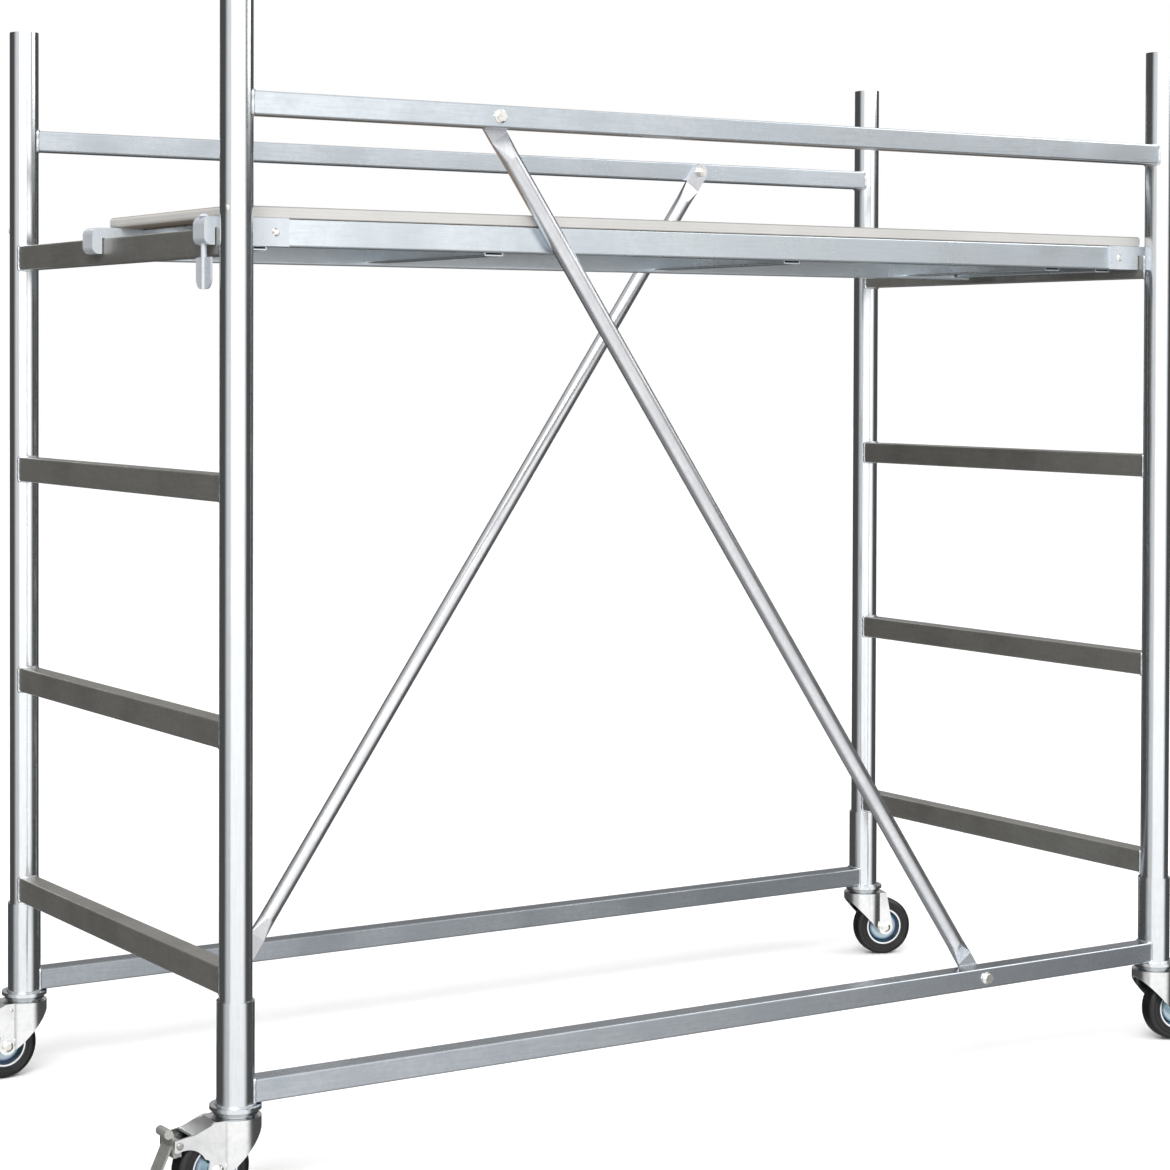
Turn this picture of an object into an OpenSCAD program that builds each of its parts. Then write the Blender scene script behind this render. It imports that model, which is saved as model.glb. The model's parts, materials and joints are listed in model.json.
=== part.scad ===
// Mobile room scaffold: two ladder frames, two plug-on guard frames, a base frame
// on four swivel casters, two diagonal braces and a lift-off platform.
// X runs along the scaffold, Y from the front to the rear and Z up. The origin
// lies on the floor under the middle of the frame. All sizes are in millimetres.

/* [Frame] */
// Distance between post axes along the scaffold
frame_length = 1600; // [1400:10:1800]
// Distance between post axes across the scaffold
frame_width = 700; // [600:10:800]
// Outside diameter of the posts and guard uprights
post_d = 42.4; // [38:0.2:44]
// Wall of the posts and guard uprights
post_wall = 2; // [1.6:0.1:2.5]
// Height of the guard uprights' open tops over the floor
scaffold_h = 1540; // [1500:5:1600]
// Depth to which a guard upright plugs into its ladder post
spigot_depth = 90; // [60:5:120]
// Height to which the spigot tube reaches inside its own upright
spigot_root = 90; // [60:5:110]
// Wall of the spigot tube
spigot_wall = 2; // [1.6:0.1:2.5]
// Radial play between a spigot and its ladder post
spigot_play = 0.3; // [0.2:0.05:0.5]

/* [Ladder rungs] */
// Number of rungs on each ladder frame
rung_count = 4; // [3:1:4]
// Height of the lowest rung's centre over the floor
rung_first_z = 278; // [276:1:290]
// Distance between rung centres
rung_pitch = 310; // [280:5:315]
// Height of a rung's section
rung_h = 35; // [30:1:36]
// Width of a rung's section
rung_w = 30; // [26:1:32]
// Wall of the rungs, rails and bars
bar_wall = 2; // [1.5:0.1:2.5]
// Outside corner radius of the rungs, rails and bars
bar_corner = 2.5; // [1:0.1:2.8]
// Distance from the top rung's upper face to the joint of post and upright
joint_rise = 1; // [0:0.5:6]

/* [Guard frame] */
// Side of the square guard rail
rail_size = 30; // [26:1:32]
// Height of the guard rail's centre over the floor
rail_z = 1381; // [1350:1:1420]

/* [Base frame] */
// Outside diameter of the base sleeves
sleeve_d = 48.3; // [46:0.1:52]
// Radial play between a post and its base sleeve
sleeve_play = 0.35; // [0.2:0.05:0.6]
// Height of the base sleeves over their flange plate
sleeve_h = 131; // [110:1:134]
// Diameter of the flange plates
flange_d = 66; // [62:1:76]
// Thickness of the flange plates
flange_t = 5; // [4:0.5:6]
// Side of the square base bar
base_bar_size = 30; // [26:1:32]
// Gap between the base bar and the flange plates
base_bar_gap = 1; // [0.5:0.5:6]

/* [Braces] */
// Outside diameter of the brace tube
brace_d = 25; // [20:0.5:25]
// Wall of the brace tube
brace_wall = 2; // [1.5:0.1:2.5]
// Distance along the frame from a post axis to the brace's upper bolt
brace_top_x = 380; // [340:5:420]
// Distance along the frame from the same post axis to the brace's lower bolt
brace_foot_x = 1241; // [1150:1:1260]
// Thickness of the brace's flattened ends
brace_flat_t = 5; // [4:0.5:6]
// Radius of the brace's rounded ends
brace_end_r = 14; // [13:0.5:15]
// Length of the flat from its bolt to the start of the swell
brace_flat_len = 32; // [24:1:40]
// Length of the swell from flat to round
brace_swell = 30; // [20:1:40]
// Diameter of the brace bolts
bolt_d = 8; // [6:0.5:10]
// Radial play of the bolts in their holes
bolt_play = 0.3; // [0.2:0.05:0.5]
// Thickness of a bolt's head
bolt_head_h = 5.5; // [4:0.5:7]
// Thickness of a nut
nut_h = 6.5; // [5:0.5:8]

/* [Platform] */
// Length of the deck board
deck_length = 1584; // [1380:2:1784]
// Thickness of the deck board
deck_t = 15; // [12:1:18]
// Rounding of the deck board's end edges
deck_edge_r = 5; // [2:0.5:5.5]
// Height of the deck's upper face over the floor
deck_z = 1255; // [1252:1:1258]
// Distance from the front post axes to the platform's front face
deck_set_back = 32; // [32:1:60]
// Depth of the platform from its front to its rear face
deck_depth = 375; // [340:5:420]
// Width of the side beams' section
beam_w = 25; // [20:1:30]
// Height of the front side beam
front_beam_h = 36; // [32:1:40]
// Height of the rear side beam
rear_beam_h = 44; // [40:1:48]
// Distance from the post axes to the side beams' ends
beam_end_gap = 44; // [38:1:60]
// Number of cross members under the deck between the end ones
cross_count = 3; // [2:1:3]
// Distance from the left posts to the first of these cross members
cross_first_x = 415; // [360:5:440]
// Distance between these cross members
cross_pitch = 508; // [400:4:512]
// Width of a cross member
cross_w = 30; // [24:1:40]
// Height of a cross member
cross_h = 40; // [34:1:42]
// Distance from the side beams' ends to the first deck screws
screw_inset = 60; // [50:2:80]
// Number of deck screws along each side beam
screw_count = 6; // [4:1:8]
// Shank diameter of a deck screw
screw_d = 5; // [4:0.5:6]
// Head diameter of a deck screw
screw_head_d = 10; // [9:0.5:12]

/* [Platform claws] */
// Thickness of the claw plates
claw_t = 4; // [3:0.5:4]
// Distance from the post axis to the claw's outer nose
claw_reach = 31; // [29:1:36]
// Radius of the claw's rounded nose
claw_nose_r = 10; // [7:0.5:12]
// Play between a claw and the sides of its rung
claw_play = 1.2; // [0.8:0.1:2]
// Play between a claw's saddle and the top of its rung
claw_seat = 0.2; // [0.1:0.05:0.4]
// Length of the left claws' tongues from the post axis
left_tongue = 89; // [80:1:110]
// Length of the right claws' tongues from the post axis
right_tongue = 74; // [70:1:110]
// Diameter of a claw rivet
rivet_d = 6; // [5:0.5:7]
// Diameter of a claw rivet's head
rivet_head_d = 11; // [9:0.5:12]
// Diameter of the lift lock's pin
lock_pin_d = 8; // [6:0.5:9]
// Thickness of the lift lock's blade
lock_blade_t = 3; // [2:0.5:4]
// Height of the lift lock's blade
lock_blade_h = 40; // [30:1:46]
// Reach of the blade from its pin towards the post
lock_blade_front = 22; // [16:1:22]
// Reach of the blade from its pin away from the post
lock_blade_rear = 20; // [16:1:24]

/* [Casters] */
// Height of a caster from the floor to the flange plate
caster_h = 120; // [118:1:126]
// Diameter of a caster wheel
wheel_d = 100; // [94:1:102]
// Width of a tyre
tyre_w = 30; // [26:1:32]
// Diameter of the wheel rim
rim_d = 63; // [58:1:66]
// Depth of the grooves between the tyre's moulded rings
tyre_groove = 1; // [0.5:0.1:1.5]
// Outside diameter of the wheel hub
hub_d = 28; // [26:1:30]
// Outside diameter of the wheel bearing
bearing_d = 22; // [20:0.5:24]
// Diameter of the wheel axle
axle_d = 10; // [8:0.5:12]
// Radial running play of the wheel on its axle
axle_play = 0.05; // [0.02:0.01:0.08]
// Distance from a caster's kingpin to its wheel axle
caster_trail = 35; // [30:1:38]
// Diameter of the fork's round head
fork_head_d = 66; // [62:1:72]
// Sheet thickness of the fork
fork_t = 3; // [2.5:0.1:3.5]
// Play between the tyre and the inside of the fork's legs
leg_play = 4; // [3:0.5:5]
// Radius of the round end of a fork leg
leg_end_r = 13; // [12:0.5:15]
// Thickness of the upper bearing race
race_t = 5; // [4:0.5:6]
// Diameter of the upper bearing race
race_d = 58; // [52:1:60]
// Depth of the race's seat that carries the fork
race_seat = 3; // [2:0.5:4]
// Gap left between the race's seat and the fork head
race_gap = 0.3; // [0.2:0.05:0.4]
// Diameter of the kingpin
kingpin_d = 12; // [10:0.5:14]
// Diameter of the kingpin's nut
kingpin_nut_d = 22; // [20:0.5:24]
// Thickness of the kingpin's nut
kingpin_nut_h = 7; // [5:0.5:7]
// Direction of the front left caster's trail
front_left_turn = 180; // [0:5:355]
// Direction of the rear left caster's trail
rear_left_turn = 180; // [0:5:355]
// Direction of the front right caster's trail
front_right_turn = 345; // [0:5:355]
// Direction of the rear right caster's trail
rear_right_turn = 340; // [0:5:355]

/* [Brake] */
// Distance from the kingpin to the tip of the brake cheeks
cheek_reach = 94; // [94:1:100]
// Height of the cheek tip's upper corner over the wheel axle
cheek_tip_rise = 46; // [44:1:48]
// Height of the cheek's tip
cheek_tip_h = 14; // [14:1:17]
// Distance from the kingpin to the brake pivot
brake_pivot_x = 87; // [86:0.5:88]
// Height of the brake pivot over the wheel axle
brake_pivot_rise = 39; // [38:0.5:40]
// Diameter of the brake pivot
brake_pin_d = 6; // [5:0.5:6.5]
// Sheet thickness of the pedal
pedal_t = 3; // [2:0.5:3.5]
// Width of the pedal's tread
pedal_w = 26; // [20:1:30]
// Length of the pedal's tread
pedal_len = 42; // [34:1:46]
// Slope of the pedal's tread from the vertical
pedal_slope = 25; // [15:1:35]
// Radius of the pedal's rolled release tab
pedal_roll_r = 6; // [4:0.5:7]

/* [Hidden] */
$fn = 64;
HULL_FN = 32;

eps = 0.01;
LEFT = -1;
RIGHT = 1;
FRONT = -1;
REAR = 1;

// Frame
half_l = frame_length / 2;
half_w = frame_width / 2;
post_r = post_d / 2;
post_bore_r = post_r - post_wall;
sleeve_r = sleeve_d / 2;
sleeve_bore_r = post_r + sleeve_play;
plate_top_z = caster_h + flange_t;
top_rung_z = rung_first_z + rung_pitch * (rung_count - 1);
rung_top_z = top_rung_z + rung_h / 2;
joint_z = rung_top_z + joint_rise;
spigot_r = post_bore_r - spigot_play;
base_bar_z = plate_top_z + base_bar_gap + base_bar_size / 2;

// Braces: the flattened ends lie on the rails' inner faces
brace_y = half_w - rail_size / 2 - brace_flat_t / 2;
brace_run = brace_foot_x - brace_top_x;
brace_rise = rail_z - base_bar_z;
brace_len = sqrt(brace_run * brace_run + brace_rise * brace_rise);
brace_lean = atan2(brace_run, brace_rise);
bolt_hole_d = bolt_d + 2 * bolt_play;
bolt_hex_d = 1.9 * bolt_d;
bolt_tip = 2;

// Platform
front_y = -half_w + deck_set_back;
rear_y = front_y + deck_depth;
beam_top_z = deck_z - deck_t;
beam_half = half_l - beam_end_gap;
screw_span = 2 * (beam_half - screw_inset);
cross_len = deck_depth - 2 * beam_w;
end_cross_len = cross_len - 2 * claw_t;
screw_len = deck_t + bar_wall;
screw_sink = (screw_head_d - screw_d) / 2;
screw_fit = 0.1;

// Claws: u runs outwards from the post axis
claw_w = beam_w + 2 * claw_t;
pocket_half = rung_w / 2 + claw_play;
saddle_z = rung_top_z + claw_seat;
claw_low_z = beam_top_z - front_beam_h;
rivet_inset = 19;
rivet_head_h = 2;
nose_t = claw_reach - pocket_half;
lock_u = pocket_half + nose_t / 2;
lock_play = 0.1;
lock_gap = 2;
lock_top_z = top_rung_z - rung_h / 2 - lock_gap;
lock_head_h = 3;
lock_y = front_y + beam_w / 2;

// Casters, seen with the trail along +X
wheel_r = wheel_d / 2;
rim_r = rim_d / 2;
leg_in = tyre_w / 2 + leg_play;
leg_out = leg_in + fork_t;
fork_head_r = fork_head_d / 2;
race_low_z = caster_h - race_t - race_seat;
fork_top_z = race_low_z - race_gap;
fork_low_z = fork_top_z - fork_t;
axle_head_d = 1.75 * axle_d;
axle_head_h = 5;
hub_len = 2 * (leg_in - 1);
tyre_edge_r = 9;
leg_root_x = sqrt(fork_head_r * fork_head_r - leg_out * leg_out);
leg_top_x = caster_trail + 2;
lead_drop = 6;
cheek_arch = 30;

// Brake
cover_end_x = cheek_reach - 26;
cover_end_z = wheel_r + cheek_tip_rise + 3;
pin_head_h = 2;
shoe_gap = 2.6;
pedal_wall_x = brake_pivot_x + brake_pin_d / 2 + 1;

// Moves everything so that the brake pedals and the right wheels reach equally far
pedal_reach = pedal_wall_x + 1.5 * pedal_t + pedal_len * sin(pedal_slope);
centre_x = (pedal_reach - caster_trail - wheel_r) / 2;

// Helpers

module tube(d, wall, h) {
    difference() {
        cylinder(d = d, h = h);
        translate([0, 0, -eps]) cylinder(d = d - 2 * wall, h = h + 2 * eps);
    }
}

module rounded_rect(w, h, r) {
    square([w - 2 * r, h], center = true);
    square([w, h - 2 * r], center = true);
    for (x = [-1, 1], y = [-1, 1])
        translate([x * (w / 2 - r), y * (h / 2 - r)]) circle(r = r, $fn = 32);
}

module box_section(w, h, wall, r) {
    difference() {
        rounded_rect(w, h, r);
        square([w - 2 * wall, h - 2 * wall], center = true);
    }
}

// Hollow bar along X, centred on the origin
module bar_x(len, w, h, wall, r) {
    rotate([90, 0, 90])
        translate([0, 0, -len / 2])
            linear_extrude(height = len) box_section(w, h, wall, r);
}

module at_post(side, end) {
    translate([side * half_l, end * half_w, 0]) children();
}

module each_corner() {
    for (side = [LEFT, RIGHT], end = [FRONT, REAR]) at_post(side, end) children();
}

module mid() {
    translate([centre_x, 0, 0]) children();
}

// Frame pieces

module ladder_post(side, end) {
    color("gainsboro")
        at_post(side, end)
            translate([0, 0, plate_top_z]) tube(post_d, post_wall, joint_z - plate_top_z);
}

module ladder_rungs(side) {
    color("dimgray")
        difference() {
            for (i = [0:rung_count - 1])
                translate([side * half_l, 0, rung_first_z + rung_pitch * i])
                    rotate([0, 0, 90]) bar_x(frame_width, rung_w, rung_h, bar_wall, bar_corner);
            for (end = [FRONT, REAR]) at_post(side, end) cylinder(r = post_r, h = joint_z);
        }
}

module base_sleeve(side, end) {
    color("silver")
        at_post(side, end) {
            difference() {
                translate([0, 0, plate_top_z - eps]) cylinder(d = sleeve_d, h = sleeve_h + eps);
                translate([0, 0, plate_top_z]) cylinder(r = sleeve_bore_r, h = sleeve_h + eps);
            }
            translate([0, 0, caster_h]) cylinder(d = flange_d, h = flange_t);
        }
}

module base_bar(end) {
    color("lightsteelblue")
        difference() {
            translate([0, end * half_w, base_bar_z])
                bar_x(frame_length, base_bar_size, base_bar_size, bar_wall, bar_corner);
            for (side = [LEFT, RIGHT]) at_post(side, end) cylinder(d = sleeve_d, h = joint_z);
            brace_bolt_place(end, false) bolt_hole(base_bar_size);
        }
}

module guard_upright(side, end) {
    color("gainsboro")
        at_post(side, end)
            rotate_extrude()
                polygon([
                    [post_bore_r, scaffold_h], [post_r, scaffold_h],
                    [post_r, joint_z], [spigot_r, joint_z],
                    [spigot_r, joint_z - spigot_depth],
                    [spigot_r - spigot_wall, joint_z - spigot_depth],
                    [spigot_r - spigot_wall, joint_z + spigot_root],
                    [post_bore_r, joint_z + spigot_root]
                ]);
}

module guard_rail(end) {
    color("lightsteelblue")
        difference() {
            translate([0, end * half_w, rail_z])
                bar_x(frame_length, rail_size, rail_size, bar_wall, bar_corner);
            for (side = [LEFT, RIGHT]) at_post(side, end) cylinder(r = post_r, h = scaffold_h);
            brace_bolt_place(end, true) bolt_hole(rail_size);
        }
}

// Braces

// Puts its children on a brace bolt's axis, with +Z pointing out of the scaffold.
// The front brace counts from the left posts and the rear one from the right posts.
module brace_bolt_place(end, upper) {
    from_post = upper ? brace_top_x : brace_foot_x;
    translate([end * (half_l - from_post), end * half_w, upper ? rail_z : base_bar_z])
        rotate([-90 * end, 0, 0]) children();
}

module bolt_hole(depth) {
    cylinder(d = bolt_hole_d, h = depth + 2, center = true);
}

module brace(end) {
    tube_len = brace_len - 2 * (brace_flat_len + brace_swell);
    color("silver")
        translate([end * (half_l - brace_top_x), end * brace_y, rail_z])
            rotate([0, 180 + end * brace_lean, 0])
                difference() {
                    union() {
                        translate([0, 0, brace_flat_len + brace_swell])
                            cylinder(d = brace_d, h = tube_len);
                        brace_end();
                        translate([0, 0, brace_len]) rotate([180, 0, 0]) brace_end();
                    }
                    translate([0, 0, brace_flat_len + brace_swell])
                        cylinder(d = brace_d - 2 * brace_wall, h = tube_len);
                    for (z = [0, brace_len])
                        translate([0, 0, z])
                            rotate([90, 0, 0])
                                cylinder(d = bolt_hole_d, h = brace_flat_t + 2, center = true);
                }
}

module brace_end() {
    rotate([90, 0, 0]) cylinder(r = brace_end_r, h = brace_flat_t, center = true);
    translate([-brace_end_r, -brace_flat_t / 2, 0])
        cube([2 * brace_end_r, brace_flat_t, brace_flat_len]);
    hull() {
        translate([-brace_end_r, -brace_flat_t / 2, brace_flat_len - 1])
            cube([2 * brace_end_r, brace_flat_t, 1]);
        translate([0, 0, brace_flat_len + brace_swell - eps])
            cylinder(d = brace_d, h = eps, $fn = HULL_FN);
    }
}

module each_brace_bolt() {
    for (end = [FRONT, REAR], upper = [true, false])
        brace_bolt_place(end, upper) children();
}

module brace_bolts() {
    grip = rail_size / 2 + brace_flat_t;
    color("whitesmoke")
        each_brace_bolt() {
            translate([0, 0, rail_size / 2]) cylinder(d = bolt_hex_d, h = bolt_head_h, $fn = 6);
            translate([0, 0, -grip - nut_h - bolt_tip])
                cylinder(d = bolt_d, h = grip + nut_h + bolt_tip + rail_size / 2 + eps);
        }
}

module brace_nuts() {
    color("silver")
        each_brace_bolt()
            translate([0, 0, -rail_size / 2 - brace_flat_t - nut_h])
                difference() {
                    cylinder(d = bolt_hex_d, h = nut_h, $fn = 6);
                    translate([0, 0, -eps]) cylinder(d = bolt_d + 0.1, h = nut_h + 2 * eps);
                }
}

// Platform

module deck_board() {
    color("tan")
        difference() {
            translate([0, rear_y, deck_z - deck_t / 2])
                rotate([90, 0, 0])
                    linear_extrude(height = deck_depth)
                        rounded_rect(deck_length, deck_t, deck_edge_r);
            each_screw() screw_shape(screw_fit);
        }
}

// y is the beam's outer face, and inwards is +1 for the front beam
module side_beam(y, inwards, h) {
    translate([0, y + inwards * beam_w / 2, beam_top_z - h / 2])
        bar_x(2 * beam_half, beam_w, h, bar_wall, bar_corner);
}

module platform_front_beam() {
    color("lightsteelblue")
        difference() {
            side_beam(front_y, 1, front_beam_h);
            each_screw() screw_shape(screw_fit);
            each_rivet() rivet_hole();
        }
}

module platform_rear_beam() {
    color("slategray")
        difference() {
            side_beam(rear_y, -1, rear_beam_h);
            each_screw() screw_shape(screw_fit);
            each_rivet() rivet_hole();
        }
}

module platform_cross_members() {
    color("slategray") {
        for (i = [0:cross_count - 1])
            cross_member(-half_l + cross_first_x + cross_pitch * i, cross_len);
        for (side = [LEFT, RIGHT])
            cross_member(side * (beam_half - cross_w / 2), end_cross_len);
    }
}

module cross_member(x, len) {
    translate([x, (front_y + rear_y) / 2, beam_top_z - cross_h / 2])
        rotate([0, 0, 90]) bar_x(len, cross_w, cross_h, bar_wall, bar_corner);
}

module each_screw() {
    for (i = [0:screw_count - 1], y = [front_y + beam_w / 2, rear_y - beam_w / 2])
        translate([-screw_span / 2 + screw_span * i / (screw_count - 1), y, deck_z]) children();
}

module screw_shape(play) {
    translate([0, 0, -screw_len - play]) cylinder(d = screw_d + 2 * play, h = screw_len);
    translate([0, 0, -screw_sink - play])
        cylinder(d1 = screw_d + 2 * play, d2 = screw_head_d + 2 * play, h = screw_sink + play + eps);
}

module deck_screws() {
    color("dimgray")
        each_screw() {
            translate([0, 0, -screw_len]) cylinder(d = screw_d, h = screw_len - screw_sink / 2);
            translate([0, 0, -screw_sink]) cylinder(d1 = screw_d, d2 = screw_head_d, h = screw_sink);
        }
}

// Claws, built for the left side with u = -x from the post axis

module claw_profile(tongue) {
    difference() {
        union() {
            translate([-(claw_reach - claw_nose_r), claw_low_z])
                square([claw_reach - claw_nose_r + tongue, beam_top_z - claw_low_z]);
            translate([-claw_reach, claw_low_z + claw_nose_r])
                square([claw_nose_r + eps, beam_top_z - claw_low_z - 2 * claw_nose_r]);
            for (z = [claw_low_z + claw_nose_r, beam_top_z - claw_nose_r])
                translate([-(claw_reach - claw_nose_r), z]) circle(r = claw_nose_r);
        }
        translate([-pocket_half, claw_low_z - 1])
            square([2 * pocket_half, saddle_z - claw_low_z + 1]);
    }
}

// The space between the two claw plates, open under the saddle's inside
module claw_hollow() {
    translate([-pocket_half + claw_t, saddle_z + claw_t])
        square([beam_end_gap + pocket_half, beam_top_z - saddle_z]);
    translate([pocket_half + claw_t, claw_low_z - 1])
        square([beam_end_gap + left_tongue, beam_top_z - claw_low_z + 2]);
}

module claw_body(tongue, with_pin_hole) {
    difference() {
        rotate([90, 0, 0])
            linear_extrude(height = claw_w, center = true) claw_profile(tongue);
        rotate([90, 0, 0])
            linear_extrude(height = beam_w, center = true) claw_hollow();
        if (with_pin_hole)
            translate([-lock_u, 0, claw_low_z - 1])
                cylinder(d = lock_pin_d + 2 * lock_play, h = beam_top_z - claw_low_z + 2);
    }
}

module claw(side, end, with_pin_hole) {
    y = end == FRONT ? front_y + beam_w / 2 : rear_y - beam_w / 2;
    color("white")
        difference() {
            translate([side * half_l, y, 0])
                mirror([side == RIGHT ? 1 : 0, 0, 0])
                    claw_body(side == LEFT ? left_tongue : right_tongue, with_pin_hole);
            each_rivet() rivet_hole();
        }
}

// Puts its children on a rivet's axis, with +Z pointing out of the platform
module each_rivet() {
    for (side = [LEFT, RIGHT], end = [FRONT, REAR]) {
        tongue = side == LEFT ? left_tongue : right_tongue;
        y = end == FRONT ? front_y + beam_w / 2 : rear_y - beam_w / 2;
        translate([side * (half_l - tongue + rivet_inset), y, beam_top_z - front_beam_h / 2])
            rotate([-90 * end, 0, 0]) children();
    }
}

module rivet_hole() {
    cylinder(d = rivet_d + 0.2, h = claw_w + 2, center = true);
}

module claw_rivets() {
    color("silver")
        each_rivet() {
            translate([0, 0, -claw_w / 2]) cylinder(d = rivet_d, h = claw_w + eps);
            translate([0, 0, claw_w / 2])
                cylinder(d1 = rivet_head_d, d2 = rivet_head_d * 0.6, h = rivet_head_h);
        }
}

// Lift lock: a D-shaped blade on an upright pin; a quarter turn puts it under the rung

module lift_lock() {
    pin_low = lock_top_z - lock_blade_h;
    color("whitesmoke")
        translate([-half_l - lock_u, lock_y, 0]) {
            translate([0, 0, pin_low]) cylinder(d = lock_pin_d, h = beam_top_z - pin_low + eps);
            translate([0, 0, beam_top_z])
                cylinder(d1 = lock_pin_d * 1.7, d2 = lock_pin_d, h = lock_head_h);
            rotate([90, 0, 90])
                linear_extrude(height = lock_blade_t, center = true) lock_blade();
        }
}

module lock_blade() {
    low = lock_top_z - lock_blade_h;
    corner = min(lock_blade_rear, lock_blade_front) * 0.7;
    difference() {
        union() {
            translate([-lock_blade_front, low + corner])
                square([lock_blade_front + lock_blade_rear, lock_blade_h - corner]);
            translate([-lock_blade_front + corner, low])
                square([lock_blade_front + lock_blade_rear - 2 * corner, corner + eps]);
            for (y = [-lock_blade_front + corner, lock_blade_rear - corner])
                translate([y, low + corner]) circle(r = corner);
        }
        translate([-lock_blade_front / 2 - 1, low + corner])
            square([2, lock_blade_h - corner - 6]);
    }
}

// Casters

module caster_races() {
    color("silver")
        each_corner() {
            translate([0, 0, caster_h - race_t]) ring(race_d, race_t);
            translate([0, 0, race_low_z]) ring(race_d - 8, race_seat + eps);
        }
}

module ring(d, h) {
    difference() {
        cylinder(d = d, h = h);
        translate([0, 0, -eps]) cylinder(d = kingpin_d, h = h + 2 * eps);
    }
}

module kingpins() {
    color("dimgray")
        each_corner() {
            nut_z = fork_low_z - race_gap - kingpin_nut_h;
            translate([0, 0, nut_z]) cylinder(d = kingpin_d, h = caster_h - nut_z);
            translate([0, 0, nut_z]) cylinder(d = kingpin_nut_d, h = kingpin_nut_h, $fn = 6);
        }
}

module at_caster(side, end, turn) {
    at_post(side, end) rotate([0, 0, turn]) children();
}

// Plan of the fork: a round head shell that runs into two flat legs
module fork_plan(shrink, reach) {
    intersection() {
        circle(r = fork_head_r - shrink);
        translate([-fork_head_r, -fork_head_r])
            square([fork_head_r + leg_root_x - shrink, fork_head_d]);
    }
    translate([0, -(leg_out - shrink)]) square([reach, 2 * (leg_out - shrink)]);
}

// Point where a line from p touches the circle of radius r about c
function tangent_point(p, c, r, turn) =
    let (d = p - c, a = atan2(d[1], d[0]) + turn * acos(r / norm(d)))
    c + r * [cos(a), sin(a)];

// Side view of a fork leg
module leg_profile() {
    hub = [caster_trail, wheel_r];
    lead = [-fork_head_r - 1, fork_low_z - lead_drop];
    back = [leg_top_x, fork_top_z];
    translate(hub) circle(r = leg_end_r);
    polygon([
        lead, tangent_point(lead, hub, leg_end_r, 1), hub,
        tangent_point(back, hub, leg_end_r, -1), back, [-fork_head_r - 1, fork_top_z]
    ]);
}

// Side view of the cheek that carries the brake
module cheek_profile() {
    tip_z = wheel_r + cheek_tip_rise;
    arch_z = tip_z - cheek_tip_h;
    difference() {
        polygon([
            [0, fork_top_z], [leg_top_x, fork_top_z], [cover_end_x - 8, cover_end_z + 2],
            [cheek_reach, tip_z], [cheek_reach, arch_z], [leg_top_x + 10, arch_z - 16],
            [caster_trail, wheel_r], [0, fork_low_z]
        ]);
        translate([caster_trail + leg_end_r + cheek_arch, arch_z - cheek_arch + 1])
            circle(r = cheek_arch);
    }
}

module fork(braked) {
    hub_gap = axle_d / 2 + 0.1;
    color("lightgray")
        difference() {
            union() {
                intersection() {
                    linear_extrude(height = fork_top_z)
                        difference() {
                            fork_plan(0, cheek_reach + 1);
                            fork_plan(fork_t, cheek_reach + 2);
                        }
                    rotate([90, 0, 0])
                        linear_extrude(height = fork_head_d, center = true) {
                            leg_profile();
                            if (braked) cheek_profile();
                        }
                }
                translate([0, 0, fork_low_z])
                    linear_extrude(height = fork_t) fork_plan(0, leg_top_x);
                if (braked) brake_cover();
            }
            translate([0, 0, fork_low_z - 1])
                cylinder(r = kingpin_d / 2 + axle_play, h = fork_t + 2);
            translate([caster_trail, 0, wheel_r])
                rotate([90, 0, 0]) cylinder(r = hub_gap, h = fork_head_d, center = true);
            if (braked)
                translate([brake_pivot_x, 0, wheel_r + brake_pivot_rise])
                    rotate([90, 0, 0])
                        cylinder(r = brake_pin_d / 2 + axle_play, h = fork_head_d, center = true);
        }
}

// Sloping sheet between the cheeks, over the wheel
module brake_cover() {
    rotate([90, 0, 0])
        linear_extrude(height = 2 * leg_out - 2 * eps, center = true)
            polygon([
                [leg_top_x - 1, fork_top_z], [cover_end_x, cover_end_z],
                [cover_end_x, cover_end_z - fork_t], [leg_top_x - 1, fork_low_z]
            ]);
}

module axle() {
    color("whitesmoke")
        translate([caster_trail, 0, wheel_r])
            rotate([90, 0, 0]) {
                cylinder(d = axle_d, h = 2 * leg_out + 2 * eps, center = true);
                for (s = [0, 180])
                    rotate([s, 0, 0])
                        translate([0, 0, leg_out]) {
                            cylinder(d1 = axle_head_d, d2 = axle_head_d * 0.9, h = axle_head_h - 2);
                            translate([0, 0, axle_head_h - 2 - eps])
                                cylinder(d1 = axle_head_d * 0.9, d2 = axle_head_d * 0.5, h = 2);
                        }
            }
}

module tyre_half() {
    half = tyre_w / 2;
    difference() {
        union() {
            translate([rim_r, 0]) square([wheel_r - rim_r, half - tyre_edge_r]);
            translate([rim_r, 0]) square([wheel_r - rim_r - tyre_edge_r, half]);
            translate([wheel_r - tyre_edge_r, half - tyre_edge_r]) circle(r = tyre_edge_r);
        }
        for (r = [wheel_r - tyre_edge_r, rim_r + 4])
            translate([r, half]) circle(r = tyre_groove, $fn = 16);
    }
}

module tyre() {
    color([0.09, 0.09, 0.1])
        translate([caster_trail, 0, wheel_r])
            rotate([90, 0, 0])
                rotate_extrude() {
                    tyre_half();
                    mirror([0, 1]) tyre_half();
                }
}

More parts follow.
